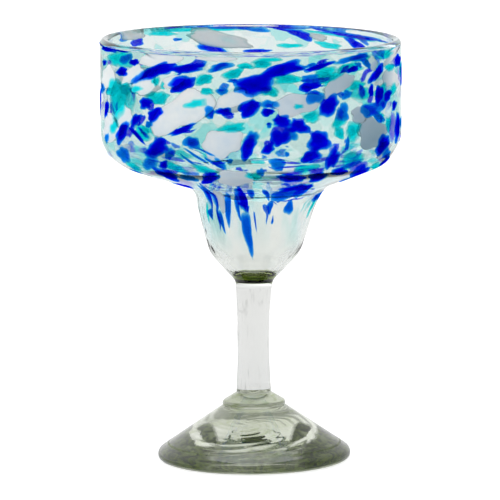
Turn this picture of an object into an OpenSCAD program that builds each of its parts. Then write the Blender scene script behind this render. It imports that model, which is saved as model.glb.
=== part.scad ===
// Hand-blown margarita glass: a wide bowl stepped down into a small cup, on a drawn stem and a pressed
// conical foot. Each gather of glass is its own solid, joined to the next one face to face, and the chips
// of coloured glass lie in the coat round the bowl, flush with its outside.
// Millimetres. +Z is up, and the origin is the middle of the ring that the foot stands on.

/* [Bowl] */
// Outside diameter of the wide bowl
bowl_d = 120; // [104:1:140]
// Height of the wide bowl's wall, from the corner of its shoulder to the lip
bowl_wall_h = 47.4; // [40:0.1:60]
// Thickness of the bowl's wall
bowl_t = 3.6; // [2.8:0.1:4.6]
// Outside radius of the shoulder where the wall turns under
shoulder_r = 15.6; // [12:0.1:18]
// Rise of the bowl's underside, from the neck out to the corner of the shoulder
underside_rise = 12.6; // [9:0.1:16]

/* [Cup] */
// Outside diameter of the neck, where the underside meets the cup
neck_d = 51.4; // [46:0.2:56]
// Outside radius of the flare at the neck
neck_flare_r = 8; // [6:0.5:10]
// Height of the cup from the stem's joint to the neck
cup_h = 40; // [36:0.5:48]
// Outside diameter low on the cup, where its wall turns in to the stem
cup_low_d = 36.6; // [34:0.2:42]
// Height above the stem's joint at which the wall turns in
cup_low_h = 14.2; // [12:0.1:17]
// Outside radius of that turn
cup_turn_r = 14.8; // [10:0.1:18]
// Thickness of the cup's wall
cup_t = 2.6; // [1.8:0.1:3.2]
// Thickness of solid glass between the stem's joint and the inside of the cup
cup_floor_t = 8.4; // [7:0.1:10]

/* [Colour coat] */
// Thickness of the coat of glass that holds the chips
coat_t = 0.8; // [0.5:0.1:1.2]
// Length of the longest chips, along their slant
chip_l = 17; // [12:0.5:22]
// Width of the widest chips
chip_w = 9.4; // [6:0.2:11]
// Clear glass left between neighbouring chips
chip_gap = 1; // [0.8:0.1:4]
// Slant of the chips near the lip, which the blower's twist gives them
chip_slant = 24; // [0:1:40]
// Length of the longest streak on the cup
streak_l = 24; // [12:0.5:26]
// Width of the widest streak on the cup
streak_w = 3.4; // [2:0.1:4.5]

/* [Stem] */
// Length of the stem between its two joints
stem_l = 42.6; // [30:0.1:60]
// Diameter of the stem at its waist
stem_d = 12.8; // [10:0.1:13.6]
// Diameter of the stem's joint with the cup
stem_top_d = 14.6; // [14:0.1:18]
// Diameter of the stem's joint with the collar
stem_bottom_d = 14; // [14:0.1:17]

/* [Collar] */
// Diameter of the bead of glass between stem and foot
collar_d = 25.4; // [25:0.1:29]
// Height of the bead
collar_h = 5; // [4.4:0.1:8]
// Diameter of the collar's joint with the foot
seat_d = 24.6; // [20:0.1:24.8]

/* [Foot] */
// Diameter of the foot
foot_d = 77.6; // [70:0.2:90]
// Height of the foot up to the collar's seat
foot_h = 22.4; // [16:0.1:26]
// Height of the upright edge round the foot
foot_edge_h = 4.2; // [3.6:0.1:7]
// Radius that rounds the lower side of the edge
foot_edge_r = 2; // [1:0.1:2.2]
// Width of the flat ring that the foot stands on, round the hollow
ring_w = 4.5; // [3:0.1:6]
// Height to which the foot's underside lifts from that ring out to the edge
edge_lift = 0.8; // [0.3:0.1:1.2]
// Diameter of the hollow under the foot
hollow_d = 56; // [44:0.5:58]
// Depth of the hollow under the foot
hollow_h = 8; // [5:0.1:10]

/* [Hidden] */

$fn = 96;
// Angle between the points of a rounded corner
arc_step = 9;

// Radius of the fillet between the cup's underside and the stem's joint, and the height of its corner
boss_fillet_r = 5;
boss_h = 2.4;
// Radius inside the cup where its wall turns in to the floor
floor_turn_r = 5;
// Radius of the bend that eases the stem into its wider ends, and how far from each end it lies
stem_ease_r = 40;
stem_ease_l = 13;
// Radii that round the collar's bead above and below its widest place, and the height of that place
collar_round_r = 1.7;
collar_under_r = 0.4;
collar_wide_h = 1.6;
// Radii that ease the cone of the foot into its edge, and the ring that it stands on into its underside
cone_ease_r = 3;
ring_turn_r = 4;

// Where each gather begins, up from the table
collar_z = foot_h;
stem_z = collar_z + collar_h;
cup_z = stem_z + stem_l;
neck_z = cup_z + cup_h;
shoulder_z = neck_z + underside_rise;
lip_z = shoulder_z + bowl_wall_h - bowl_t / 2;

bowl_r = bowl_d / 2;
neck_r = neck_d / 2;
stem_top_r = stem_top_d / 2;

// The direction of v, with a length of one
function unit(v) = v / norm(v);

// The direction a quarter turn to the left of v
function left(v) = [-v[1], v[0]];

// The turn from direction a to direction b, in degrees, positive to the left
function turn(a, b) = atan2(left(a) * b, a * b);

// Points of an arc of radius r that is tangent to the lines a-b and b-c. Each is [x, y, nx, ny], where n is
// the direction to the right of travel.
function corner(a, b, c, r) =
    let (
        ahead = unit(b - a),
        bend = turn(ahead, unit(c - b)),
        side = sign(bend) * left(ahead),
        centre = b - ahead * r * tan(abs(bend) / 2) + side * r,
        steps = max(1, ceil(abs(bend) / arc_step))
    )
    [
        for (i = [0:steps])
            let (
                t = bend * i / steps,
                out = -side * cos(t) - left(side) * sin(t)
            )
            [each centre + out * r, each sign(bend) * out]
    ];

// A path through corners of [x, y, radius], whose first and last entries are its ends
function rounded(corners) =
    let (
        at = [for (c = corners) [c[0], c[1]]],
        last = len(corners) - 1
    )
    [
        [each at[0], each -left(unit(at[1] - at[0]))],
        for (i = [1:1:last - 1]) each corner(at[i - 1], at[i], at[i + 1], corners[i][2]),
        [each at[last], each -left(unit(at[last] - at[last - 1]))]
    ];

// The points of a path, moved by d to its right
function beside(path, d) = [for (p = path) [p[0] + p[2] * d, p[1] + p[3] * d]];

function reversed(list) = [for (i = [len(list) - 1:-1:0]) list[i]];

// The corner b of the lines a-b and b-c, when the first moves to its left by t and the second by u
function inset(a, b, c, t, u) =
    let (
        m = left(unit(b - a)),
        n = left(unit(c - b))
    )
    b + [t * n[1] - u * m[1], u * m[0] - t * n[0]] / (m[0] * n[1] - m[1] * n[0]);

// Length of a path's stretch number i, and of the path up to the end of that stretch
function stretch(path, i) = norm([path[i][0] - path[i - 1][0], path[i][1] - path[i - 1][1]]);
function reach(path, i) = i == 0 ? 0 : reach(path, i - 1) + stretch(path, i);

// Length up a path to where its radius first comes to r
function reach_to(path, r, i = 1) =
    path[i][0] < r
        ? reach_to(path, r, i + 1)
        : reach(path, i - 1) + stretch(path, i) * (r - path[i - 1][0]) / (path[i][0] - path[i - 1][0]);

// The place [x, y, nx, ny] on a path at length l
function place(path, l, i = 1) =
    i < len(path) - 1 && reach(path, i) < l
        ? place(path, l, i + 1)
        : let (t = (l - reach(path, i - 1)) / stretch(path, i)) path[i - 1] * (1 - t) + path[i] * t;

// The corners of the vessel's outside, as [radius, height]
boss = [stem_top_r, cup_z + boss_h];
cup_low = [cup_low_d / 2, cup_z + cup_low_h];
neck = [neck_r, neck_z];
shoulder = [bowl_r, shoulder_z];
lip = [bowl_r, lip_z];

// Outside of the bare boss over the stem's joint, which ends on the slope under the cup
boss_path = [[stem_top_r, cup_z, 1, 0], each corner([stem_top_r, cup_z], boss, cup_low, boss_fillet_r)];

// Outside of the coat, from that slope up to the lip
coat_path = rounded([
    boss_path[len(boss_path) - 1],
    [each cup_low, cup_turn_r],
    [each neck, neck_flare_r],
    [each shoulder, shoulder_r],
    lip
]);
coat_l = reach(coat_path, len(coat_path) - 1);

// Inside of the vessel, from the lip down to the middle of the cup's floor, at the walls' thicknesses
inside_path = rounded([
    [bowl_r - bowl_t, lip_z],
    [each inset(neck, shoulder, lip, bowl_t, bowl_t), shoulder_r - bowl_t],
    [each inset(cup_low, neck, shoulder, cup_t, bowl_t), neck_flare_r + cup_t],
    [each cup_low + left(unit(neck - cup_low)) * cup_t, cup_turn_r - cup_t],
    [stem_top_r, cup_z + cup_floor_t, floor_turn_r],
    [0, cup_z + cup_floor_t]
]);

// The bowl without its coat: the inner gather, from the boss over the stem to the lip
module bowl() {
    lip_r = bowl_t / 2;
    lip_round = [for (a = [0:arc_step:180]) [bowl_r - lip_r, lip_z] + lip_r * [cos(a), sin(a)]];
    color([0.87, 0.93, 0.91, 0.4])
        rotate_extrude()
            polygon([
                [0, cup_z],
                each beside(boss_path, 0),
                each beside(coat_path, -coat_t),
                each lip_round,
                each beside(inside_path, 0)
            ]);
}

// The whole coat, as a shell round the bowl
module coat_shell() {
    rotate_extrude()
        polygon([each beside(coat_path, 0), each reversed(beside(coat_path, -coat_t))]);
}

// Cuts the outline of its children through the coat, at length l up it and angle a round it. The outline
// lies square to the surface there, with X level, and the cutter is deep enough for a coat that bends with
// radius bend_r over half_reach.
module through_coat(a, l, half_reach, bend_r) {
    p = place(coat_path, l);
    rotate([0, 0, a])
        translate([p[0], 0, p[1]])
            rotate([0, atan2(p[2], p[3]), 0])
                rotate([0, 0, 90])
                    linear_extrude(height = 2 * coat_t + half_reach * half_reach / bend_r, center = true)
                        children();
}

// The golden angle spreads sizes and outlines evenly over the chips, whose numbers count up
golden_angle = 137.5;
function spread(number, least_share) = 1 - (1 - least_share) * ((number * golden_angle) % 360) / 360;

// Outline of a chip of length l and width w: an ellipse with the dents and corners of broken glass, which
// differ with the chip's number
chip_sides = 10;
chip_dent_share = 0.12;
module chip_outline(l, w, number) {
    polygon([
        for (i = [0:chip_sides - 1])
            let (
                a = 360 / chip_sides * i,
                dent = 1 + chip_dent_share * sin(3 * a + golden_angle * number)
            )
            [l / 2 * dent * cos(a), w / 2 * dent * sin(a)]
    ]);
}

// Rows of chips go round the bowl, evenly spaced from its underside, past the flare of the neck, to the lip
chip_rise = (1 + chip_dent_share) * norm([chip_l * sin(chip_slant), chip_w * cos(chip_slant)]);
first_row = reach_to(coat_path, neck_r + neck_flare_r + chip_rise / 2);
last_row = coat_l - chip_rise / 2 - chip_gap;
row_count = 1 + floor((last_row - first_row) / (chip_rise + chip_gap));
row_pitch = (last_row - first_row) / (row_count - 1);
function row_l(row) = first_row + row * row_pitch;

// The chips lie level on the underside, and slant more and more towards the lip
function row_slant(row) = chip_slant * row / (row_count - 1);

// As many chips as fit side by side in a row
chip_pitch = chip_l * (1 + chip_dent_share) + chip_gap;
function row_chips(row) = floor(2 * PI * place(coat_path, row_l(row))[0] / chip_pitch);

// The colours follow one another round each row in this order, and each row starts further on in it
colour_order = [
    "cobalt", "white", "turquoise", "cobalt", "azure", "white", "cobalt", "turquoise", "azure", "cobalt"
];
row_shift_count = 3;
function chip_colour(row, i) = colour_order[(i + row_shift_count * row) % len(colour_order)];

// Least length and width of a chip, as shares of the greatest
least_l_share = 0.7;
least_w_share = 0.7;

// The cutters of every chip of one colour, or of all chips
module chip_cutters(colour) {
    for (row = [0:row_count - 1])
        for (i = [0:row_chips(row) - 1])
            if (colour == "all" || chip_colour(row, i) == colour) {
                number = row * len(colour_order) + i;
                l = chip_l * spread(number, least_l_share);
                w = chip_w * spread(number + row_shift_count, least_w_share);
                through_coat((i + row / 2) * 360 / row_chips(row), row_l(row), chip_l / 2, shoulder_r)
                    rotate([0, 0, row_slant(row)])
                        chip_outline(l, w, number);
            }
}

// The chips of one colour, cut out of the coat
module chips(colour, rgb) {
    color(rgb)
        intersection() {
            coat_shell();
            chip_cutters(colour);
        }
}

// Streaks hang down the cup from the neck, where chips were drawn out as the cup was necked in. Each is
// [angle round the cup in degrees, length share, width share].
streak_shares = [
    [-98, 1, 1], [-116, 0.55, 0.7], [-76, 0.45, 0.8], [-54, 0.6, 0.6],
    [-8, 0.75, 0.6], [38, 0.5, 0.9], [83, 0.85, 0.7], [128, 0.6, 0.8], [171, 0.7, 0.6], [214, 0.5, 0.8]
];
streak_sides = 8;

// The streaks' tops, on the cup's wall just under the flare of the neck
streak_top = reach_to(coat_path, neck_r - streak_w / 2);

// The cutters of the streaks: long leaves, wider above than below
module streak_cutters() {
    for (streak = streak_shares) {
        l = streak_l * streak[1];
        w = streak_w * streak[2];
        through_coat(streak[0], streak_top - l / 2, l / 2, cup_turn_r)
            polygon([
                for (i = [0:streak_sides - 1])
                    let (a = 360 / streak_sides * i)
                    [w / 2 * sin(a) * (1 + cos(a) / 3), l / 2 * cos(a)]
            ]);
    }
}

module cup_streaks() {
    color([0.05, 0.35, 0.85])
        intersection() {
            coat_shell();
            streak_cutters();
        }
}

// The clear glass of the coat, which fills it between the chips and the streaks
module clear_coat() {
    color([0.8, 0.94, 0.92, 0.4])
        difference() {
            coat_shell();
            chip_cutters("all");
            streak_cutters();
        }
}

// The stem: a solid rod, drawn thinner at its waist
module stem() {
    side = rounded([
        [stem_bottom_d / 2, stem_z],
        [stem_d / 2, stem_z + stem_ease_l, stem_ease_r],
        [stem_d / 2, cup_z - stem_ease_l, stem_ease_r],
        [stem_top_r, cup_z]
    ]);
    color([0.93, 0.95, 0.94, 0.5])
        rotate_extrude()
            polygon([[0, stem_z], each beside(side, 0), [0, cup_z]]);
}

// The collar: a bead of glass that joins the stem to the foot
module collar() {
    side = rounded([
        [seat_d / 2, collar_z],
        [collar_d / 2, collar_z + collar_under_r, collar_under_r],
        [collar_d / 2, collar_z + collar_wide_h, collar_round_r],
        [stem_bottom_d / 2, stem_z]
    ]);
    color([0.78, 0.84, 0.7, 0.5])
        rotate_extrude()
            polygon([[0, collar_z], each beside(side, 0), [0, stem_z]]);
}

// The foot: a pressed cone with a rounded edge, hollowed underneath so that it stands on a ring
module foot() {
    side = rounded([
        [hollow_d / 2, 0],
        [hollow_d / 2 + ring_w, 0, ring_turn_r],
        [foot_d / 2, edge_lift, foot_edge_r],
        [foot_d / 2, foot_edge_h, cone_ease_r],
        [seat_d / 2, foot_h]
    ]);
    // A ball that meets the table's level in a circle of the hollow's diameter
    hollow_r = (pow(hollow_d / 2, 2) + pow(hollow_h, 2)) / 2 / hollow_h;
    color([0.72, 0.8, 0.62, 0.55])
        difference() {
            rotate_extrude()
                polygon([[0, 0], each beside(side, 0), [0, foot_h]]);
            translate([0, 0, hollow_h - hollow_r])
                sphere(r = hollow_r);
        }
}

bowl();
clear_coat();
chips("cobalt", [0.02, 0.05, 0.75]);  // cobalt_chips
chips("azure", [0.05, 0.4, 0.85]);  // azure_chips
chips("turquoise", [0.1, 0.75, 0.75]);  // turquoise_chips
chips("white", [0.93, 0.93, 0.95]);  // white_chips
cup_streaks();
stem();
collar();
foot();
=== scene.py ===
import bpy
import numpy as np
from mathutils import Matrix, Vector


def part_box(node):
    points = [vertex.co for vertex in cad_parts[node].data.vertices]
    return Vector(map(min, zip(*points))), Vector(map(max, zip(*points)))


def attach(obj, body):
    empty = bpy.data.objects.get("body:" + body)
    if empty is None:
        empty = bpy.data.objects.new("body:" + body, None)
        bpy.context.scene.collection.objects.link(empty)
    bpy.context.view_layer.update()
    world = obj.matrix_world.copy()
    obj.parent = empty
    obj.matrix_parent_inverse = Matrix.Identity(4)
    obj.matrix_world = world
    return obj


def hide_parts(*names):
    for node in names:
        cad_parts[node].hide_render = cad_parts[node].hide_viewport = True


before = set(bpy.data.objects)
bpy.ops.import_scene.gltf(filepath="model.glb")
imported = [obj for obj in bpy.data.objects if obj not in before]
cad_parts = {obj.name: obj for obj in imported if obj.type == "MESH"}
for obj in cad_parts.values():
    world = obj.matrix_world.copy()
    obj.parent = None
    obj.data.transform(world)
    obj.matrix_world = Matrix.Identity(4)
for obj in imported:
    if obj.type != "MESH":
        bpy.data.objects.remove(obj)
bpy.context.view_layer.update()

# ---- Camera ----
# The photograph's view: a long lens nearly two metres away, looking down at the glass by eight degrees,
# and held a touch askew.
picture_side = 500
sensor = 0.036
camera_lens = 0.3329
camera_at = Vector((0, -1.83, 0.347))
camera_to = Vector((-0.0009, 0, 0.0848))
camera_roll = np.radians(-0.6)

camera = bpy.data.objects.new("camera", bpy.data.cameras.new("camera"))
camera.data.sensor_width = sensor * 1000
camera.data.lens = camera_lens * 1000
facing = (camera_to - camera_at).to_track_quat("-Z", "Y").to_matrix().to_4x4()
camera.matrix_world = Matrix.Translation(camera_at) @ facing @ Matrix.Rotation(camera_roll, 4, "Z")
bpy.context.scene.collection.objects.link(camera)
bpy.context.scene.camera = camera


def picture_rays(points):
    """Directions from the camera through points of the picture, as [x, y] in pixels from its upper left
    corner: each point's place on the sensor, a lens's length ahead, turned as the camera is turned."""
    right = (points[..., 0] / picture_side - 0.5) * sensor
    up = (0.5 - points[..., 1] / picture_side) * sensor
    ahead = np.stack([right, up, np.full_like(up, -camera_lens)], -1)
    return ahead @ np.array(camera.matrix_world.to_3x3()).T


# ---- Bowl ----
# The inner gather of clear glass, blown out to the wide bowl and necked in to the cup, with a thick base
# over the stem. Its lip is fire-polished round, and its skin strays a little from true, as hand-blown
# glass does.
bowl_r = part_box("clear_coat")[1].x
cup_z, rim_z = (corner.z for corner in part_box("bowl"))
bowl_t = 0.0036
bowl_wall_h = 0.0474
shoulder_r = 0.0156
neck_r = 0.0257
neck_z = cup_z + 0.04
neck_flare_r = 0.008
cup_low_r = 0.0183
cup_low_z = cup_z + 0.0142
cup_turn_r = 0.0148
cup_t = 0.0026
cup_floor_z = cup_z + 0.0061
cup_floor_rise = 0.0004
floor_r = 0.006
floor_turn_r = 0.003
dish_r = 0.009
dish_z = cup_z + 0.0087
dish_turn_r = 0.001
cup_base_t = 0.0031
stem_top_r = 0.0073
boss_h = 0.0024
boss_fillet_r = 0.005
coat_t = 0.0008
lip_z = rim_z - bowl_t / 2
shoulder_z = rim_z - bowl_wall_h

arc_step = np.radians(6)
profile_step = 0.001
points_around = 288
angles = np.linspace(-np.pi, np.pi, points_around, endpoint=False)
# Pieces that are welded together stand this far apart, so that no two faces coincide
weld_gap = 0.00002
crease_angle = np.radians(50)


def unit(v):
    """The direction of v, with a length of one."""
    return v / np.linalg.norm(v)


def left(v):
    """The direction a quarter turn to the left of v."""
    return np.array([-v[1], v[0]])


def corner_arc(a, b, c, r):
    """Rows x, y, nx, ny of an arc of radius r that is tangent to the lines a-b and b-c. Its centre lies r
    to the inner side of both lines, and n points to the right of travel."""
    ahead, onward = unit(b - a), unit(c - b)
    bend = np.arctan2(left(ahead) @ onward, ahead @ onward)
    side = np.sign(bend) * left(ahead)
    centre = b - ahead * r * np.tan(abs(bend) / 2) + side * r
    t = np.linspace(0, bend, 2 + int(abs(bend) / arc_step))[:, None]
    out = -side * np.cos(t) - left(side) * np.sin(t)
    return np.hstack([centre + out * r, np.sign(bend) * out])


def rounded(*corners):
    """A path through corners of (x, y, radius), whose ends are (x, y): straight lines between the arcs of
    its corners, as rows x, y, nx, ny."""
    at = [np.array(corner[:2], float) for corner in corners]
    first, last = (
        np.hstack([end, -left(unit(onward))])[None]
        for end, onward in ((at[0], at[1] - at[0]), (at[-1], at[-1] - at[-2]))
    )
    arcs = [corner_arc(*at[i - 1 : i + 2], corners[i][2]) for i in range(1, len(at) - 1)]
    return np.vstack([first, *arcs, last])


def even(path, step=profile_step):
    """The path again, with a row at every step of its length, worked out on the lines between its rows."""
    length = np.insert(np.cumsum(np.hypot(*np.diff(path[:, :2], axis=0).T)), 0, 0)
    wanted = np.linspace(0, length[-1], 1 + int(np.ceil(length[-1] / step)))
    rows = np.stack([np.interp(wanted, length, column) for column in path.T], -1)
    rows[:, 2:] /= np.linalg.norm(rows[:, 2:], axis=1, keepdims=True)
    return rows


def beside(path, d):
    """The places of a path, moved by d to its right."""
    return path[:, :2] + path[:, 2:] * d


def turned(radius, height, angle):
    """Points at a radius and height, turned round Z by an angle from the front, which is -Y."""
    radius, height, angle = np.broadcast_arrays(radius, height, angle)
    return np.stack([radius * np.sin(angle), -radius * np.cos(angle), height], -1)


def waves(table, angle, height):
    """The sum of a table's waves at an angle and height. Each row is a wave's size, its number round the
    glass, its radians per metre of height and its phase."""
    return sum(size * np.sin(count * angle + climb * height + phase) for size, count, climb, phase in table)


# How far the cup and the stem's top sit to the right of the middle, at heights up the glass
lean_z = cup_z + np.array([-0.02, 0, 0.02, 0.032, 0.037, 0.0405, 0.045, 0.054])
lean = np.array([0, 0.0005, 0.0013, 0.0018, 0.0026, 0.0029, 0.0018, 0])
lip_slant = 0.0007
blown_waves = [(0.0028, 2, 0, 1), (0.0018, 3, 55, 0), (0.001, 5, -90, 2)]
inner_skin_waves = [(0.00012, 4, 100, 0), (0.00008, 7, -200, 1), (0.00003, 13, 330, 4)]


def blown(points):
    """Points of the vessel moved as hand-blown glass strays from round: slow waves round it and up it push
    the wall in and out, the cup sits to the right of the bowl, and the lip slants down to the right."""
    x, y, z = np.moveaxis(points, -1, 0)
    stray = waves(blown_waves, np.arctan2(x, -y), z)
    lift = -lip_slant * x / bowl_r * np.clip((z - neck_z) / (rim_z - neck_z), 0, 1)
    return np.stack([x * (1 + stray) + np.interp(z, lean_z, lean), y * (1 + stray), z + lift], -1)


def closed_mesh(name, rings, poles=None):
    """A mesh of closed surfaces from rings, as [surface, ring, point, xyz]. Each ring is joined to the next.
    A pole closes each end, as [surface, end, xyz], or else the last ring is joined to the first."""
    count, tall, sides, _ = rings.shape
    low = np.arange(count * tall * sides).reshape(count, tall, sides)
    beyond = np.roll(low, -1, axis=2)
    quads = np.stack([low, beyond, np.roll(beyond, -1, axis=1), np.roll(low, -1, axis=1)], -1)
    points, fans = rings.reshape(-1, 3), []
    if poles is not None:
        quads = quads[:, :-1]
        pole = np.repeat(low.size + np.arange(2 * count).reshape(count, 2, 1), sides, axis=2)
        fans = [
            *np.stack([pole[:, 0], beyond[:, 0], low[:, 0]], -1).reshape(-1, 3).tolist(),
            *np.stack([low[:, -1], beyond[:, -1], pole[:, 1]], -1).reshape(-1, 3).tolist(),
        ]
        points = np.vstack([points, poles.reshape(-1, 3)])
    mesh = bpy.data.meshes.new(name)
    mesh.from_pydata(points.tolist(), [], quads.reshape(-1, 4).tolist() + fans)
    mesh.shade_smooth()
    return mesh


class Shade:
    """A socket of a node tree. Sums and products of it add Math nodes, and node() adds any other node."""

    def __init__(self, socket):
        self.socket = socket

    def node(self, kind, inputs, output=0, stops=(), **settings):
        """Adds a node of a kind: its settings first, then a ramp's stops of (place, colour), then the
        values or links of its sockets. Gives the output that is named or numbered."""
        tree = self.socket.id_data
        new = tree.nodes.new("ShaderNode" + kind)
        for key, value in settings.items():
            setattr(new, key, value)
        for i, (place, colour) in enumerate(stops):
            stop = new.color_ramp.elements[i] if i < 2 else new.color_ramp.elements.new(place)
            stop.position, stop.color = place, (*colour, 1)
        for key, value in inputs.items():
            if isinstance(value, Shade):
                tree.links.new(value.socket, new.inputs[key])
            else:
                new.inputs[key].default_value = value
        return Shade(new.outputs[output])

    def maths(self, operation, a, b):
        """A Math node on two values."""
        return self.node("Math", {0: a, 1: b}, operation=operation)

    def size(self):
        """This value without its sign."""
        return self.node("Math", {0: self}, operation="ABSOLUTE")

    def ramp(self, low, high, start=0.0, end=1.0, **settings):
        """A value that goes from start to end as this one goes from low to high, and stays there."""
        places = {"Value": self, "From Min": low, "From Max": high, "To Min": start, "To Max": end}
        return self.node("MapRange", places, **settings)

    def colours(self, *stops):
        """A colour that runs through stops of (place, colour) as this value grows."""
        return self.node("ValToRGB", {"Fac": self}, stops=stops)

    def noise(self, scale, detail, output=0, **inputs):
        """Soft noise on this place, with so many waves to a metre and so many finer layers."""
        return self.node("TexNoise", {"Vector": self, "Scale": scale, "Detail": detail, **inputs}, output)

    def stretched(self, x, y, z):
        """This place, scaled along each axis."""
        return self.node("Mapping", {"Vector": self, "Scale": (x, y, z)})

    def along(self, axis):
        """This place's coordinate X, Y or Z."""
        return self.node("SeparateXYZ", {0: self}, axis)

    def mix(self, low, high):
        """A colour that goes from low to high as this value goes from 0 to 1."""
        return self.node("Mix", {0: self, 6: low, 7: high}, 2, data_type="RGBA", clamp_factor=True)

    def __add__(self, other):
        return self.maths("ADD", self, other)

    __radd__ = __add__

    def __sub__(self, other):
        return self.maths("SUBTRACT", self, other)

    def __rsub__(self, other):
        return self.maths("SUBTRACT", other, self)

    def __mul__(self, other):
        return self.maths("MULTIPLY", self, other)

    __rmul__ = __mul__


def link(shade, shader, key):
    """Links a shade to one of a shader's sockets."""
    shade.socket.id_data.links.new(shade.socket, shader.inputs[key])


def new_finish(name, **constants):
    """A material of one Principled shader with these constants. Gives the material, its shader and the
    place on the piece, as Object coordinates. Light goes straight on through the faces at which a piece is
    fused to the next."""
    material = bpy.data.materials.new(name)
    material.use_nodes = True
    shader = material.node_tree.nodes["Principled BSDF"]
    for key, value in constants.items():
        shader.inputs[key.replace("_", " ")].default_value = value
    place = Shade(material.node_tree.nodes.new("ShaderNodeTexCoord").outputs["Object"])
    link(1 - place.node("Attribute", {}, "Fac", attribute_name="fused"), shader, "Alpha")
    return material, shader, place


def new_glass(name, bend=1.5, **constants):
    """A clear, smooth glass. Where glass lies in glass of the same make, it has a bend of 1, and light goes
    straight through it."""
    return new_finish(name, Roughness=0.0, Transmission_Weight=1.0, IOR=bend, **constants)


def absorb(material, colour, density):
    """Gives a glass its tint by depth."""
    tree = material.node_tree
    inside = tree.nodes.new("ShaderNodeVolumeAbsorption")
    inside.inputs["Color"].default_value = (*colour, 1)
    inside.inputs["Density"].default_value = density
    tree.links.new(inside.outputs[0], tree.nodes["Material Output"].inputs["Volume"])


def place_piece(name, mesh, finish, fused=(), weld_finish=None):
    """Makes a piece of a mesh: it rides on the glass, stands for the CAD node of its name, if there is one,
    and takes its finish from a slot. Its fused faces are marked, or have a finish of their own."""
    piece = bpy.data.objects.new(name, mesh)
    bpy.context.scene.collection.objects.link(piece)
    mesh.materials.append(finish)
    if weld_finish:
        mesh.materials.append(weld_finish)
        mesh.polygons.foreach_set("material_index", np.array(fused, np.int32))
    elif len(fused):
        mesh.attributes.new("fused", "FLOAT", "FACE").data.foreach_set("value", np.array(fused, np.float32))
    mesh.set_sharp_from_angle(angle=crease_angle)
    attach(piece, "root")
    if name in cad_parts:
        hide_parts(name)


def round_piece(name, parts, poles, finish, shape=blown, weld_finish=None):
    """A piece that is turned round Z from the parts of its profile, from its lower pole to its upper one,
    or from an end back to itself. Each part is (rows of radius and height, fused), where radius and
    height may vary round the piece. A face is fused if a row at its edge is."""
    rows = np.concatenate([
        np.broadcast_to(part if part.ndim == 3 else part[:, None], (len(part), points_around, 2))
        for part, _ in parts
    ])
    fused_row = np.concatenate([np.full(len(part), fused) for part, fused in parts])
    rings = shape(turned(rows[..., 0], rows[..., 1], angles))[None]
    if poles is None:
        ends, fused_ring = None, fused_row | np.roll(fused_row, -1)
    else:
        ends = np.array([[[0, 0, z] for z in poles]])
        fused_ring = np.concatenate([fused_row[1:] | fused_row[:-1], fused_row[[0, -1]]])
    mesh = closed_mesh(name, rings, ends)
    place_piece(name, mesh, finish, np.repeat(fused_ring, points_around), weld_finish)


boss_foot, boss_top = np.array([stem_top_r, cup_z]), np.array([stem_top_r, cup_z + boss_h])
cup_low, neck = np.array([cup_low_r, cup_low_z]), np.array([neck_r, neck_z])
shoulder, lip = np.array([bowl_r, shoulder_z]), np.array([bowl_r, lip_z])
boss_path = np.vstack([[*boss_foot, 1, 0], corner_arc(boss_foot, boss_top, cup_low, boss_fillet_r)])
coat_path = even(rounded(
    boss_path[-1, :2],
    (*cup_low, cup_turn_r),
    (*neck, neck_flare_r),
    (*shoulder, shoulder_r),
    lip,
))
coat_length = np.linspace(0, np.hypot(*np.diff(coat_path[:, :2], axis=0).T).sum(), len(coat_path))


def inset(a, b, c, t, u):
    """The corner b of the lines a-b and b-c, when the first moves to its left by t and the second by u."""
    m, n = left(unit(b - a)), left(unit(c - b))
    return b + np.array([t * n[1] - u * m[1], u * m[0] - t * n[0]]) / (m[0] * n[1] - m[1] * n[0])


inside_path = even(rounded(
    (bowl_r - bowl_t, lip_z),
    (*inset(neck, shoulder, lip, bowl_t, bowl_t), shoulder_r - bowl_t),
    (*inset(cup_low, neck, shoulder, cup_t, bowl_t), neck_flare_r + bowl_t),
    (*inset(boss_top, cup_low, neck, cup_base_t, cup_t), cup_turn_r - cup_t),
    (dish_r, dish_z, dish_turn_r),
    (floor_r, cup_floor_z + cup_floor_rise, floor_turn_r),
    (profile_step, cup_floor_z),
))
lip_angle = np.arange(0, np.pi, arc_step)[:, None]
lip_round = lip - [bowl_t / 2, 0] + bowl_t / 2 * np.hstack([np.cos(lip_angle), np.sin(lip_angle)])

# The inner skin's waves die out at the lip and at the middle of the cup's floor
lip_calm_h = 0.012
near_lip = np.clip((lip_z - inside_path[:, 1:2]) / lip_calm_h, 0, 1)
near_middle = np.clip(inside_path[:, :1] / bowl_r, 0, 1) ** 2
swell = waves(inner_skin_waves, angles, inside_path[:, 1:2]) * (near_lip * near_middle)
inside_rows = inside_path[:, None, :2] + inside_path[:, None, 2:] * swell[..., None]

# The rings of a welded face, as shares of its radius
weld_disc = np.array([[0.3, 0], [0.65, 0], [0.98, 0]])
clear_finish, _, _ = new_glass(
    "clear_glass", Base_Color=(0.93, 0.94, 0.925, 1), Specular_Tint=(0.5, 0.5, 0.5, 1)
)
absorb(clear_finish, (0.45, 0.6, 0.5), 6)

round_piece(
    "bowl",
    [
        (weld_disc * stem_top_r + [0, cup_z + weld_gap / 2], True),
        (beside(boss_path, 0) + [0, weld_gap / 2], False),
        (beside(coat_path, -coat_t - weld_gap / 2), True),
        (lip_round, False),
        (inside_rows, False),
    ],
    (cup_z + weld_gap / 2, cup_floor_z),
    clear_finish,
)

# ---- Coat ----
# The outer gather of pale aqua glass, gathered over the bowl before it was blown out. It holds the chips,
# and turquoise that melted into it lies in soft clouds, drawn out to faint streaks down the cup.
coat_ripple_h = 0.00003
cup_middle_x = 0.006


def coat_point(length, angle, depth):
    """Points under the coat's outer skin: the path's place at a length up it, moved in along the path's
    normal by a depth, turned round the glass and strayed as the vessel strays."""
    x, y, nx, ny = (np.interp(length, coat_length, column) for column in coat_path.T)
    return blown(turned(x - nx * depth, y - ny * depth, angle))


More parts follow.
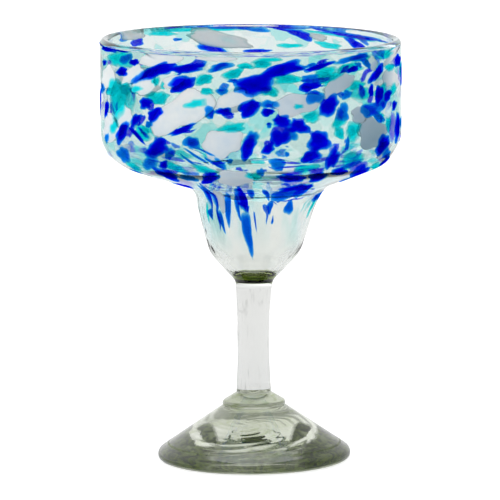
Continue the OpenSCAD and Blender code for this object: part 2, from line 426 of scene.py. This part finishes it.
ripple = coat_ripple_h * (
    np.sin(23 * angles + 300 * coat_path[:, 1:2]) * np.sin(700 * coat_path[:, 1:2] - 6 * angles)
)
outer_rows = coat_path[:, None, :2] + coat_path[:, None, 2:] * ripple[..., None]

coat_finish, _, _ = new_glass(
    "coat_glass", Base_Color=(0.96, 0.965, 0.96, 1), Specular_Tint=(0.25, 0.25, 0.25, 1)
)
# The melted turquoise lies at the coat's inner side. It is patchy round the bowl, and drawn out down the
# cup, whose middle stayed clearer.
aqua_finish, aqua_shader, here = new_glass("aqua_glass", bend=1.0)
wander = here.noise(90.0, 3.0, "Color")
astray = here.node("VectorMath", {0: wander, 1: (0.012, 0.012, 0.012)}, operation="MULTIPLY")
patchy = here.node("VectorMath", {0: here, 1: astray}, operation="ADD").stretched(1, 1, 1.7)
patches = patchy.node(
    "TexVoronoi", {"Vector": patchy, "Scale": 95.0, "Smoothness": 0.25}, "Color", feature="SMOOTH_F1"
)
bowl_colour = patches.along("X").colours(
    (0.05, (0.89, 0.95, 0.95)), (0.3, (0.58, 0.88, 0.87)), (0.5, (0.83, 0.93, 0.93)),
    (0.68, (0.52, 0.76, 0.73)), (0.92, (0.10, 0.76, 0.79)),
)
cup_colour = here.stretched(1, 1, 0.14).noise(110.0, 3.0, Distortion=0.4).colours(
    (0.42, (0.92, 0.93, 0.905)), (0.5, (0.76, 0.88, 0.91)), (0.57, (0.50, 0.83, 0.83)),
    (0.66, (0.16, 0.55, 0.55)),
)
in_bowl = here.along("Z").ramp(0.1, 0.117, interpolation_type="SMOOTHSTEP")
on_cup = here.along("Z").ramp(0.082, 0.1, interpolation_type="SMOOTHSTEP")
from_middle = (here.along("X") - cup_middle_x).size()
cup_colour = (on_cup * from_middle.ramp(0.003, 0.009, 0.3)).mix((0.90, 0.915, 0.89, 1), cup_colour)
link(in_bowl.mix(cup_colour, bowl_colour), aqua_shader, "Base Color")

round_piece(
    "clear_coat",
    [(outer_rows, False), (beside(coat_path, -coat_t + weld_gap / 2)[::-1], True)],
    None,
    coat_finish,
    weld_finish=aqua_finish,
)

# ---- Chips ----
# Chips of cobalt, azure, turquoise and white glass, crushed and sieved, which the hot gather was rolled
# over. They melted flat and soft-edged into the coat, stand a tenth or two of a millimetre proud of it,
# and slant as the blower turned the glass.
ray_near, ray_far = 1.74, 1.94
ray_steps = np.linspace(ray_near, ray_far, 1601)
chip_sides = 32
chip_squareness = 2.5
chip_roughness = 0.1
chip_waves = [(2, 0.8), (3, 1), (5, 0.7), (7, 0.45)]
lens_slope = np.radians(np.linspace(-88, 88, 15))
# Of a chip's like on the far wall, as shares and strays of its centre, length, width and tilt
far_share = [1, 1, 0.8, 0.8, 1]
far_stray = [1, 1, 0, 0, 3]
mouth_low_y = 62
clearance = 0.8
melted_edge = (0.75, 0.9, 0.95)


def cast(points, far=False):
    """Where rays through picture points meet the coat's outer skin, as length up the coat's path and angle
    from the front. Along each ray, the near meeting is the first step inside the skin and the far one the
    last. A ray that misses takes the step at which it comes nearest."""
    rays = picture_rays(points)
    ahead = rays / rays[..., 1:2]
    x, y, z = (camera_at[i] + ahead[..., i, None] * ray_steps for i in range(3))
    within = np.interp(z, coat_path[:, 1], coat_path[:, 0], left=-1, right=-1) - np.hypot(x, y)
    inside = within > 0
    last = len(ray_steps) - 1
    step = last - np.argmax(inside[..., ::-1], -1) if far else np.argmax(inside, -1)
    step = np.where(inside.any(-1), step, np.argmax(within, -1))[..., None]
    x, y, z = (np.take_along_axis(v, step, -1)[..., 0] for v in (x, y, z))
    return np.interp(z, coat_path[:, 1], coat_length), np.arctan2(x, -y)


def outlines(count, rng, roughness=chip_roughness):
    """Outlines of chips round (0, 0), one unit in half length and half width: a rounded square whose radius
    waves of seeded phase dent and draw out. Each wave has its number round the chip and its size."""
    t = np.linspace(0, 2 * np.pi, chip_sides, endpoint=False)
    square = (np.abs(np.cos(t)) ** chip_squareness + np.abs(np.sin(t)) ** chip_squareness) ** (
        -1 / chip_squareness
    )
    phase = rng.uniform(0, 2 * np.pi, (count, len(chip_waves), 1))
    dents = sum(roughness * w * np.sin(n * t + phase[:, i]) for i, (n, w) in enumerate(chip_waves))
    radius = square * (1 + dents)
    return np.stack([radius * np.cos(t), radius * np.sin(t)], -1)


def sized(outline, length, width, tilt):
    """The outlines stretched to lengths and widths, and turned up to the right by tilts in degrees."""
    x, y = outline[..., 0] * length[:, None] / 2, outline[..., 1] * width[:, None] / 2
    c, s = np.cos(np.radians(tilt))[:, None], np.sin(np.radians(tilt))[:, None]
    return np.stack([x * c - y * s, x * s + y * c], -1)


def seen_chips(table, rng, far=False):
    """Outlines on the coat, as length and angle, of chips read off the picture as rows of centre x, y,
    length, width and tilt."""
    table = np.array(table, float)
    shape = sized(outlines(len(table), rng), table[:, 2], table[:, 3], table[:, 4])
    return np.stack(cast(table[:, None, :2] + shape * [1, -1], far), -1)


side_spread = 34
angle_stride, height_stride = 0.618034, 0.754878
chip_margin = 0.004
under_bowl = len(coat_path) // 2
chips_start = np.interp(neck_r + 0.006, coat_path[:under_bowl, 0], coat_length[:under_bowl]) + chip_margin
chips_end = coat_length[-1] - chip_margin
top_tilt, tilt_spread = 28, 14


def unseen_chips(numbers, length, width, rng):
    """Outlines of chips spread evenly over the bowl's left and right sides, which the picture shows edge on.
    A chip's number places it: two irrational strides share out angle and height, and the slant grows with
    height."""
    side = np.where(numbers % 2, 1, -1)
    angle = side * np.radians(90 + side_spread * (2 * (numbers * angle_stride % 1) - 1))
    height_share = numbers * height_stride % 1
    up = chips_start + (chips_end - chips_start) * height_share
    spread = rng.uniform(0.65, 1.1, (2, len(numbers)))
    tilt = top_tilt * height_share + rng.uniform(-tilt_spread, tilt_spread, len(numbers))
    shape = sized(outlines(len(numbers), rng), length * spread[0], width * spread[1], tilt)
    radius = np.interp(up, coat_length, coat_path[:, 0])
    return np.stack([up[:, None] + shape[..., 1], angle[:, None] + shape[..., 0] / radius[:, None]], -1)


def chip_mesh(name, outline, depths):
    """A mesh of flat lenses, from the depths under the coat's skin of their outer face, edge and inner face.
    A lens's rings shrink its outline towards its middle as its surface slopes up, by the root of the
    cosine and by the sine of one angle. The attribute heart runs from 0 at a chip's edge to 1 at its
    middle, and inner is 1 on its inner face."""
    middle = outline[..., 0].mean(1)[:, None], outline[:, :1, 1]
    off = (outline[..., 1] - middle[1] + np.pi) % (2 * np.pi) - np.pi
    shift = off.mean(1)[:, None]
    share, rise = np.sqrt(np.cos(lens_slope))[:, None], np.sin(lens_slope)[:, None]
    length = middle[0][:, None] + share * (outline[..., 0] - middle[0])[:, None]
    angle = (middle[1] + shift)[:, None] + share * (off - shift)[:, None]
    depth = np.interp(-rise, [-0.7, 0, 0.7], depths)
    rings = coat_point(length, angle, depth)
    ends = np.array([depths[2], depths[0]])
    poles = coat_point(middle[0], middle[1] + shift, ends)
    mesh = closed_mesh(name, rings, poles)
    heart = np.broadcast_to(1 - share, length.shape).ravel()
    inner = np.broadcast_to(rise < -0.5, length.shape).ravel()
    for key, values, at_poles in (("heart", heart, (1, 1)), ("inner", inner, (1, 0))):
        attribute = mesh.attributes.new(key, "FLOAT", "POINT")
        values = np.append(values, np.tile(at_poles, len(outline)))
        attribute.data.foreach_set("value", values.astype(np.float32))
    return mesh


def chip_outlines(seen, through_mouth, numbers, length, width, rng):
    """Outlines of all chips of one colour: those that the picture shows on the near wall, their like on the
    far wall behind them, those seen on the far wall through the mouth, and those on the sides that keep
    clear of the others."""
    seen = np.array(seen, float)
    behind = seen * far_share + rng.normal(0, 1.0, (len(seen), 5)) * far_stray
    behind = behind[behind[:, 1] > mouth_low_y]
    shown = np.concatenate([
        seen_chips(seen, rng), seen_chips(behind, rng, far=True), seen_chips(through_mouth, rng, far=True)
    ])
    unseen = unseen_chips(numbers, length, width, rng)
    apart = (unseen.mean(1)[:, None] - shown.mean(1)) * [1, bowl_r]
    clear = (np.hypot(apart[..., 0], apart[..., 1]) > clearance * length).all(1)
    return np.concatenate([shown, unseen[clear]])


def chip_finish(name, edge, mid, heart_colour):
    """Coloured glass in clear glass of the same make, so light goes straight through it. Its colour deepens
    from its thin melted edge to its heart, a little unevenly."""
    finish, shader, here = new_glass(name, bend=1.0)
    heart = here.node("Attribute", {}, "Fac", attribute_name="heart")
    depth = heart + 0.9 * (here.noise(150.0, 3.0) - 0.48)
    deepest = tuple(0.8 * c for c in heart_colour)
    colour = depth.colours(
        (0.0, melted_edge), (0.06, edge), (0.22, mid), (0.42, heart_colour), (1.0, deepest)
    )
    link(colour, shader, "Base Color")
    return finish


def add_chips(colour, seen, through_mouth, numbers, size, depths, finish):
    """Makes the chips of one colour one piece."""
    rng = np.random.default_rng(chip_seeds[colour])
    name = colour + "_chips"
    outline = chip_outlines(seen, through_mouth, numbers, *size, rng)
    place_piece(name, chip_mesh(name, outline, depths), finish)


# Each row is a chip in the picture: its centre x, y, its length and width in pixels, and its tilt up to the
# right in degrees
cobalt_seen = [
    (153, 73.5, 48, 12, 24), (189, 69, 38, 9, 8), (181.5, 84, 29, 14, 20), (255, 85, 46, 20, 10),
    (282, 69, 46, 13, 20), (134, 63.5, 9, 7, 0), (122, 73, 12, 9, 0), (104, 64, 4, 7, 0),
    (106.5, 110, 18, 4, 85), (111, 48, 16, 10, 20), (145.5, 104, 13, 12, 0), (155, 115, 18, 11, 35),
    (135, 121, 15, 9, 60), (122, 133, 24, 10, 65), (137, 136, 24, 4, -48), (182.6, 130, 34, 6, 25),
    (224, 111.5, 17, 9, 0), (250, 108, 26, 16, 30), (248, 148, 24, 14, 65), (157, 149, 24, 18, 40),
    (163.5, 165, 9, 9, 0), (165, 174, 28, 9, -20), (208.6, 178, 21, 9, 15), (319, 66, 36, 5, 20),
    (352, 68.5, 14, 6, 25), (309, 86, 22, 9, 10), (329, 106, 26, 16, 50), (376, 73, 24, 8, 50),
    (379, 93, 17, 9, 80), (388, 94, 14, 7, 75), (267, 112, 13, 9, 0), (282, 121, 20, 12, 10),
    (299, 127, 20, 14, -10), (280, 138, 20, 16, 0), (268, 149, 14, 10, 40), (319, 141, 22, 22, 0),
    (311, 156, 22, 12, 30), (332, 158, 24, 12, 70), (382, 144, 22, 12, 60), (288.6, 178, 27, 8, 0),
    (315, 177, 22, 8, 15), (357, 172, 26, 9, 30), (337, 171, 16, 8, 15), (214, 48, 26, 4, 5),
    (371, 89, 13, 5, 80), (397.4, 127, 33, 5, 88), (394, 105, 11, 5, 80), (397.6, 59, 14, 5, 85),
    (111, 49, 20, 10, -4), (122, 52, 18, 3.5, -8), (236.5, 200, 25, 9, -72), (290, 188, 40, 6, 8),
    (362, 46.6, 56, 1.5, 6),
]
cobalt_through_mouth = [
    (134, 43, 14, 9, 0), (211, 48.5, 36, 9, -15), (256.5, 51, 29, 5, 5), (298, 31.5, 38, 9, -20),
    (358, 42, 28, 8, -35), (165, 30, 90, 2.6, 4), (262, 27, 110, 2.2, -1), (352, 34.5, 76, 3, -9),
]
azure_seen = [
    (220, 67.6, 27, 8, 15), (149, 125, 8, 6, 0), (209.7, 112.6, 13, 11, 80), (192, 143, 17, 13, -10),
    (169.5, 153, 14, 10, 80), (150, 163, 17, 14, 0), (123.5, 155, 16, 12, -50), (196, 156, 28, 3, -32),
    (214, 163, 24, 3, -30), (206, 152, 20, 2.5, -25), (188, 160, 22, 2.5, -35), (220, 164, 18, 7, -35),
    (230, 161, 7, 5, 0), (350, 58, 34, 6, 15), (366, 62, 12, 7, -50), (311, 78, 20, 9, 5),
    (315, 97, 19, 14, 0), (346, 94, 12, 9, 45), (343, 112, 19, 12, 85), (372, 108, 26, 14, 10),
    (378, 116, 16, 8, -40), (269, 104, 19, 9, 0), (269, 125, 6, 6, 0), (287, 154, 5, 5, 0),
    (277, 164, 15, 14, 0), (260, 172, 8, 8, 0), (347, 143, 15, 4, 80), (386, 153, 13, 8, 60),
    (251, 138, 18, 12, 40), (290, 134, 16, 14, 0), (222, 92, 14, 6, 0), (233, 81, 12, 4, 0),
    (186, 178, 18, 6, -12), (345, 166, 24, 4, 28), (300, 68, 24, 4, 18), (359, 56, 20, 8, 10),
    (322, 79, 18, 5, 10), (312, 64, 9, 4, 10), (384, 100, 14, 7, 70), (113, 43, 10, 8, 30),
    (126, 60, 14, 9, 30),
]
azure_through_mouth = [
    (119, 40, 9, 7, 0), (254, 29, 34, 5, -5), (366, 38, 16, 6, -35), (176, 40, 10, 3, 0),
    (212, 28.6, 80, 1.8, 1), (350, 32.5, 70, 2.2, -8),
]
turquoise_seen = [
    (121, 60, 27, 17, 0), (119, 101, 38, 20, 80), (156.5, 98, 22, 13, 0), (203, 80, 20, 11, 10),
    (232.5, 74, 22, 10, 20), (246, 66, 18, 6, 0), (287, 79, 29, 10, 5), (357, 84, 16, 10, 0),
    (312, 117, 20, 11, 20), (353, 131, 16, 22, 0), (352, 159, 26, 14, 25), (393, 88, 14, 6, 80),
    (196, 104, 24, 9, 10), (142, 134, 20, 14, -30), (232, 128, 26, 10, 10), (266, 60, 30, 6, 8),
    (332, 76, 26, 8, 20), (339, 122, 18, 12, 60), (205, 170, 30, 8, -18), (252, 176, 16, 8, 0),
    (298, 106, 10, 6, 0), (176, 168, 26, 8, -20), (306, 168, 26, 8, 8), (136, 90, 14, 7, 20),
    (325.5, 71.4, 22, 13, 15), (350, 66.5, 27, 10, 10), (363.5, 92.5, 13, 12, 0),
    (340, 132.7, 10, 11, 0), (389.5, 66, 10, 8, 40), (388.4, 123, 16, 6, 85), (378.6, 114.8, 10, 9, 0),
    (375, 166.8, 13, 8, 25), (384, 52.4, 20, 10, 20), (359, 57, 22, 9, 5), (262, 64, 18, 8, 5),
    (268.5, 91, 20, 12, 0), (113.7, 88, 18, 14, 80), (126, 90, 12, 11, 40), (156, 82, 10, 8, 60),
    (207, 92, 14, 7, 0), (116, 44, 14, 8, 30), (126, 50, 26, 5, -6), (307, 205, 28, 3, 70),
    (203, 212, 24, 2.2, -78),
]
turquoise_through_mouth = [
    (160, 34, 30, 6, 0), (330, 44, 30, 6, -10), (228, 40, 20, 5, -12), (290, 45, 26, 5, 0),
    (190, 31, 120, 2.4, 2), (345, 35, 100, 2.8, -7),
]
white_seen = [
    (160, 60, 42, 13, 8), (218, 58, 38, 8, 0), (133, 76, 25, 14, 30), (144, 87, 26, 15, 25),
    (173, 82, 20, 12, 20), (108, 79, 14, 22, 0), (183, 112, 66, 33, 28), (233.5, 99.6, 36, 16, 20),
    (110.5, 129, 29, 15, 85), (222, 144, 39, 29, 10), (233, 178, 36, 14, 0), (297, 104, 46, 22, 15),
    (338.5, 84, 36, 15, 30), (360, 114, 17, 16, 0), (372, 133, 34, 24, 80), (390.6, 77, 17, 17, 0),
    (392, 54, 25, 6, 55), (214, 201, 24, 8, -62),
]
white_through_mouth = [(217, 39, 70, 15, -10), (128, 37, 24, 9, 0), (320, 36, 20, 6, -12)]

chip_seeds = {"cobalt": 3, "azure": 5, "turquoise": 8, "white": 13}
side_chips = np.arange(76)

add_chips(
    "cobalt", cobalt_seen, cobalt_through_mouth, side_chips[side_chips % 5 < 2], (0.013, 0.0065),
    (-0.0002, -0.0001, 0),
    chip_finish("cobalt_glass", (0.04, 0.42, 0.98), (0.002, 0.1, 0.95), (0.0003, 0.0006, 0.9)),
)
add_chips(
    "azure", azure_seen, azure_through_mouth, side_chips[side_chips % 5 == 2], (0.009, 0.005),
    (-0.00019, -0.0001, 0),
    chip_finish("azure_glass", (0.2, 0.62, 0.94), (0.02, 0.36, 0.93), (0.002, 0.19, 0.92)),
)
add_chips(
    "turquoise", turquoise_seen, turquoise_through_mouth, side_chips[side_chips % 5 == 3], (0.012, 0.0065),
    (-0.00018, -0.00009, 0),
    chip_finish("turquoise_glass", (0.5, 0.87, 0.87), (0.15, 0.74, 0.77), (0.004, 0.80, 0.88)),
)

white_finish, white_shader, here = new_finish(
    "white_glass", Roughness=0.4, Specular_IOR_Level=0.2, Subsurface_Weight=1.0,
    Subsurface_Radius=(0.002, 0.002, 0.002), Subsurface_Scale=1.0, Emission_Strength=0.35,
)
across, depth, height = (here.along(axis) for axis in "XYZ")
heart, inner = (here.node("Attribute", {}, "Fac", attribute_name=key) for key in ("heart", "inner"))
cloud = here.noise(180.0, 3.0)
milk = cloud.colours((0.3, (0.77, 0.86, 0.965)), (0.7, (0.90, 0.945, 0.985)))
# Painted light: the chips on the far side of the bowl, whose inner faces show through its mouth, are painted
# lighter, towards white
milk = depth.ramp(0.0, 0.03).mix(milk, (0.97, 0.97, 0.96, 1))
# Painted shade: the opal is painted greyer at the front of the right side, away from the light, and
# towards the bottom of the bowl
thin = across.ramp(-0.01, 0.05, 0.0, 0.85) * depth.ramp(-0.02, -0.03) + height.ramp(0.145, 0.118, 0.0, 0.42)
link(thin.mix(milk, (0.24, 0.36, 0.44, 1)), white_shader, "Base Color")
link((heart + 0.12 * (cloud - 0.5)).ramp(-0.03, 0.04, 0.0, 0.97), white_shader, "Alpha")
# Painted light: its inner face glows, standing in for light that falls on its outer face and passes
# through the opal, more at the front of the bowl than at the back
painted_glow = inner * depth.ramp(-0.02, 0.02, 1.0, 0.3)
link(painted_glow.mix((0, 0, 0, 1), (0.8, 0.86, 0.9, 1)), white_shader, "Emission Color")
add_chips(
    "white", white_seen, white_through_mouth, side_chips[side_chips % 5 == 4], (0.015, 0.008),
    (-0.00012, -0.00006, 0.00086), white_finish,
)

# ---- Streaks ----
# Chips that lay at the neck when the cup was drawn in were pulled out into long blue streaks, which taper
# to threads down the cup.
streak_taper = 0.45
streak_roughness = 0.06
streaks_seen = [
    (234, 199.5, 23, 11, -75), (244.5, 235, 52, 10, -77), (223, 211, 36, 7, -82),
    (218, 222, 26, 4.5, -72), (204, 196, 30, 3, -55), (244.5, 194, 9, 8, -80), (260, 195, 12, 6, -70),
    (264, 208, 14, 6, -85), (283, 207, 16, 10, 85), (280, 194.5, 34, 10, 12), (297, 190, 28, 6, 28),
    (312, 196, 20, 5, 40), (232, 208, 30, 5, -70), (268, 220, 10, 2.5, 85), (206.5, 214, 12, 5, -70),
    (201, 199, 32, 1.8, -62), (214, 217, 26, 2, -76), (251, 222, 22, 2, -80),
]


def tapered(outline):
    """The outlines drawn out: their width shrinks evenly along their length."""
    return np.stack([outline[..., 0], outline[..., 1] * (1 - streak_taper * (outline[..., 0] + 0.3))], -1)


def streak_outlines(table, rng, far=False):
    """Outlines on the coat of streaks read off the picture as chips are."""
    table = np.array(table, float)
    shape = tapered(outlines(len(table), rng, streak_roughness))
    shape = sized(shape, table[:, 2], table[:, 3], table[:, 4])
    return np.stack(cast(table[:, None, :2] + shape * [1, -1], far), -1)


# Their like on the far side of the cup, which lie to one side of the near ones
streak_far_share = [1, 1, 0.7, 0.8, 1]
streak_shift = (40, -6, 66, 30, -44, -20)
streaks_behind = np.array(streaks_seen[2:8], float) * streak_far_share
streaks_behind[:, 0] += streak_shift
streak_rng = np.random.default_rng(21)
place_piece(
    "cup_streaks",
    chip_mesh(
        "cup_streaks",
        np.concatenate([
            streak_outlines(streaks_seen, streak_rng), streak_outlines(streaks_behind, streak_rng, far=True)
        ]),
        (-0.0002, -0.0001, 0),
    ),
    chip_finish("streak_glass", (0.2, 0.55, 0.95), (0.01, 0.27, 0.93), (0.0, 0.12, 0.9)),
)

# ---- Stem ----
# A solid rod of clear glass, drawn out hot between the cup and the collar, so it is thinner at its waist
# and eases out to both joints.
stem_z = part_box("stem")[0].z
stem_r = 0.0064
stem_bottom_r = 0.007
stem_ease_r = 0.04
stem_ease_l = 0.013
stem_path = even(rounded(
    (stem_bottom_r, stem_z + weld_gap / 2),
    (stem_r, stem_z + stem_ease_l, stem_ease_r),
    (stem_r, cup_z - stem_ease_l, stem_ease_r),
    (stem_top_r, cup_z - weld_gap / 2),
))
drawn_waves = [(0.008, 2, 70, 0), (0.006, 1, 160, 0)]


def drawn_out(points):
    """Points of the stem moved as drawn glass strays: slow waves along it and round it, which die out at
    its ends."""
    x, y, z = np.moveaxis(points, -1, 0)
    free = np.sin(np.pi * np.clip((z - stem_z) / (cup_z - stem_z), 0, 1))
    stray = free * waves(drawn_waves, np.arctan2(x, -y), z)
    return np.stack([x * (1 + stray) + np.interp(z, lean_z, lean), y * (1 + stray), z], -1)


stem_finish, stem_shader, here = new_glass("stem_glass")
absorb(stem_finish, (0.5, 0.5, 0.48), 26)
# Fine flaws, drawn out to hairs along the rod
hairs = here.stretched(1, 1, 0.1).noise(900.0, 2.0).colours(
    (0.5, (0.965, 0.975, 0.96)), (0.62, (0.94, 0.95, 0.935)), (0.74, (0.62, 0.63, 0.62))
)
link(hairs, stem_shader, "Base Color")
round_piece(
    "stem",
    [
        (weld_disc * stem_bottom_r + [0, stem_z + weld_gap / 2], True),
        (beside(stem_path, 0), False),
        (weld_disc[::-1] * stem_top_r + [0, cup_z - weld_gap / 2], True),
    ],
    (stem_z + weld_gap / 2, cup_z - weld_gap / 2),
    stem_finish,
    drawn_out,
)

# A dark green bead in the cup's thick base, over the stem: painted refraction, an olive patch that stands in
# for the green foot seen down through the stem
bead_z = cup_z + 0.0027
bead_h = 0.0027
bead_low_r, bead_side_r, bead_high_r = 0.0072, 0.008, 0.0087
bead_turn_r = 0.0004
fine_step = 0.0004
bead_path = even(rounded(
    (0.003, bead_z),
    (bead_low_r, bead_z, bead_turn_r),
    (bead_side_r, bead_z + 0.0015, 2 * bead_turn_r),
    (bead_high_r, bead_z + 0.0024, bead_turn_r),
    (0.001, bead_z + bead_h),
), fine_step)
painted_foot_image_finish, _, _ = new_glass("painted_foot_image_glass", bend=1.0)
absorb(painted_foot_image_finish, (0.6, 0.67, 0.22), 1000)
round_piece(
    "painted_foot_image", [(beside(bead_path, 0), False)], (bead_z, bead_z + bead_h), painted_foot_image_finish
)

# ---- Collar ----
# A bead of greenish recycled glass, dropped hot on the foot to take the stem's end, which pressed it out
# into a bulge with a waist above it.
collar_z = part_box("collar")[0].z
collar_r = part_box("collar")[1].x
collar_lip = 0.0004
collar_side_h = 0.0016
collar_round_r = 0.0017
seat_r = 0.0123
collar_path = even(rounded(
    (seat_r, collar_z + weld_gap / 2),
    (collar_r, collar_z + collar_lip, collar_lip),
    (collar_r, collar_z + collar_side_h, collar_round_r),
    (stem_bottom_r, stem_z - weld_gap / 2),
), fine_step)
pressed_waves = [(0.0025, 2, 0, 2), (0.0015, 3, 120, 0)]


def pressed(points):
    """Points of the collar and foot moved as pressed glass strays: a little out of round."""
    x, y, z = np.moveaxis(points, -1, 0)
    stray = waves(pressed_waves, np.arctan2(x, -y), z)
    return np.stack([x * (1 + stray), y * (1 + stray), z], -1)


def green_glass(name, density, grain, *stops):
    """Greenish recycled glass, whose tint deepens with its thickness, and lies in it in uneven layers."""
    finish, shader, here = new_glass(name)
    link(here.stretched(1, 1, 4).noise(grain, 4.0, Distortion=1.0).colours(*stops), shader, "Base Color")
    absorb(finish, (0.47, 0.52, 0.36), density)
    return finish, shader, here


collar_finish, _, _ = green_glass(
    "collar_glass", 26, 150.0, (0.42, (1, 1, 1)), (0.54, (0.8, 0.82, 0.76)), (0.66, (0.34, 0.42, 0.17))
)
round_piece(
    "collar",
    [
        (weld_disc * seat_r + [0, collar_z + weld_gap / 2], True),
        (beside(collar_path, 0), False),
        (weld_disc[::-1] * stem_bottom_r + [0, stem_z - weld_gap / 2], True),
    ],
    (collar_z + weld_gap / 2, stem_z - weld_gap / 2),
    collar_finish,
    pressed,
)

# ---- Foot ----
# A cone of greenish recycled glass, pressed and tooled on the bench, which left faint rings on it. It is
# hollowed underneath and stands on a ring that was ground on a stone. Dull olive specks lie on the ring and
# in two spots of the hollow: partly the glass's own dark flecks, partly painted shade where the underside
# looks dark through the glass.
foot_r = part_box("foot")[1].x
foot_edge_z = 0.0042
edge_lift = 0.0008
foot_edge_r = 0.002
hollow_r = 0.028
hollow_h = 0.008
ring_w = 0.0045
ring_turn_r = 0.004
cone_ease_r = 0.003
foot_step = 0.0005
foot_side = even(rounded(
    (hollow_r, 0),
    (hollow_r + ring_w, 0, ring_turn_r),
    (foot_r, edge_lift, foot_edge_r),
    (foot_r, foot_edge_z, cone_ease_r),
    (seat_r, collar_z - weld_gap / 2),
), foot_step)

# The rings that the tool left on the cone, which die out at its edge and at the collar
tool_ring_h = 0.00002
tool_ring_pitch = 0.0037
tool_calm_h = 0.002
cone_reach, cone_height = foot_side[:, :1], foot_side[:, 1:2]
on_cone = (
    np.clip((cone_height - foot_edge_z) / tool_calm_h, 0, 1)
    * np.clip((collar_z - cone_height) / tool_calm_h, 0, 1)
)
tool_rings = tool_ring_h * on_cone * np.sin(2 * np.pi * cone_reach / tool_ring_pitch)
foot_rows = foot_side[:, :2] + foot_side[:, 2:] * tool_rings

# The hollow is a piece of a ball, and the press left it lumpy
hollow_ball_r = (hollow_r**2 + hollow_h**2) / (2 * hollow_h)
hollow_reach = np.linspace(0.0008, hollow_r, int(hollow_r / foot_step))[:, None]
hollow_path = np.hstack(
    [hollow_reach, hollow_h - hollow_ball_r + np.sqrt(hollow_ball_r**2 - hollow_reach**2)]
)
hollow_lump_h = 0.00012
hollow_calm_r = 0.004
in_hollow = (
    np.clip(hollow_reach / hollow_calm_r, 0, 1) * np.clip((hollow_r - hollow_reach) / hollow_calm_r, 0, 1)
)
hollow_lumps = hollow_lump_h * in_hollow * (
    np.sin(6 * angles + 700 * hollow_reach) * np.sin(1100 * hollow_reach + 2 * angles)
)

foot_finish, foot_shader, here = green_glass(
    "foot_glass", 24, 70.0, (0.35, (0.96, 0.96, 0.96)), (0.58, (0.86, 0.87, 0.83)), (0.7, (0.48, 0.56, 0.30))
)
# The dull olive specks lie under this height: partly the glass's own dark flecks, partly painted shade. They
# cover the ring and the hollow's edge, though less in front and not at the back, and a spot to each side of
# the hollow's middle.
specks_and_shade_z = 0.0075
across, back, height = here.along("X").size(), here.along("Y"), here.along("Z")
level = here.node("VectorMath", {0: here, 1: (1, 1, 0)}, operation="MULTIPLY")
radius = here.node("VectorMath", {0: level}, "Value", operation="LENGTH")
ragged = radius + 0.006 * (here.noise(160.0, 3.0) - 0.5)
ring = ragged.ramp(0.0212, 0.0222) * radius.ramp(0.0350, 0.0345)
ring = ring * ring.maths("MAXIMUM", back.ramp(0.022, 0.016, 0.0, 0.5), across.ramp(0.012, 0.019))
spots = ragged.ramp(0.0190, 0.0183) * across.ramp(0.012, 0.0135) * back.ramp(0.007, 0.004)
speck = here.noise(260.0, 3.0, Distortion=1.5)
specks_and_shade = speck.colours((0.38, (0.18, 0.26, 0.02)), (0.6, (0.03, 0.055, 0.002)))
dull = here.node("BsdfPrincipled", {"Base Color": specks_and_shade, "Roughness": 0.7})
specks_and_shade_cover = height.ramp(specks_and_shade_z, 0.9 * specks_and_shade_z) * (ring + spots) * speck.ramp(0.36, 0.46, 0.85)
foot_surface = here.node("MixShader", {0: specks_and_shade_cover, 1: Shade(foot_shader.outputs[0]), 2: dull})
link(foot_surface, foot_finish.node_tree.nodes["Material Output"], "Surface")

round_piece(
    "foot",
    [
        (hollow_path[:, None] + hollow_lumps[..., None] * [0, 1], False),
        (foot_rows[1:], False),
        (weld_disc[::-1] * seat_r + [0, collar_z - weld_gap / 2], True),
    ],
    (hollow_h, collar_z - weld_gap / 2),
    foot_finish,
    pressed,
)

# ---- Stage ----
# A plain white table that runs back out of the picture, under soft light from all round, a little stronger
# from the left.
floor_side = 16
floor_drop = 0.0001
bpy.ops.mesh.primitive_plane_add(size=floor_side, location=(0, 0, -floor_drop))
floor = bpy.context.object
floor.name = "floor"
floor_finish, floor_shader, here = new_finish(
    "floor_white", Base_Color=(0.8, 0.8, 0.8, 1), Roughness=0.8, Specular_IOR_Level=0.0,
    Emission_Strength=1.0,
)
# The table shows white to the camera, in gloss and through glass. Under the foot it has a painted pool of
# light, brighter, that stands in for the light the clear glass gathers on it
seen, in_gloss, through_glass = (
    here.node("LightPath", {}, f"Is {ray} Ray") for ray in ("Camera", "Glossy", "Transmission")
)
by_glass = here.maths("MAXIMUM", in_gloss, through_glass)
away = here.node("VectorMath", {0: here}, "Value", operation="LENGTH")
painted_light_pool = away.ramp(0.034, 0.06, 1.6, 1.0, interpolation_type="SMOOTHSTEP")
white = 0.5 * seen + painted_light_pool * (0.14 * here.maths("MAXIMUM", seen, by_glass) + 0.06 * by_glass)
link(white.mix((0, 0, 0, 1), (1, 1, 1, 1)), floor_shader, "Emission Color")
floor.data.materials.append(floor_finish)

world = bpy.data.worlds.new("studio")
bpy.context.scene.world = world
world.use_nodes = True
background = world.node_tree.nodes["Background"]
background.inputs["Color"].default_value = (1, 1, 1, 1)
toward = Shade(world.node_tree.nodes.new("ShaderNodeTexCoord").outputs["Generated"])
overhead = toward.along("Z").ramp(0.75, 0.97, 1.0, 0.6, interpolation_type="SMOOTHSTEP")
behind = toward.along("Y").ramp(-0.6, 0.2, 0.82, 1.0, interpolation_type="SMOOTHSTEP")
light = 1.12 * overhead * behind * (1 - 0.33 * toward.along("X"))
shown = light.maths("MAXIMUM", light.node("LightPath", {}, "Is Camera Ray"), light)
link(shown, background, "Strength")

scene = bpy.context.scene
scene.view_settings.view_transform = "Standard"
scene.cycles.max_bounces = 40
scene.cycles.transmission_bounces = 40
scene.cycles.glossy_bounces = 8
scene.cycles.diffuse_bounces = 10
scene.cycles.transparent_max_bounces = 40
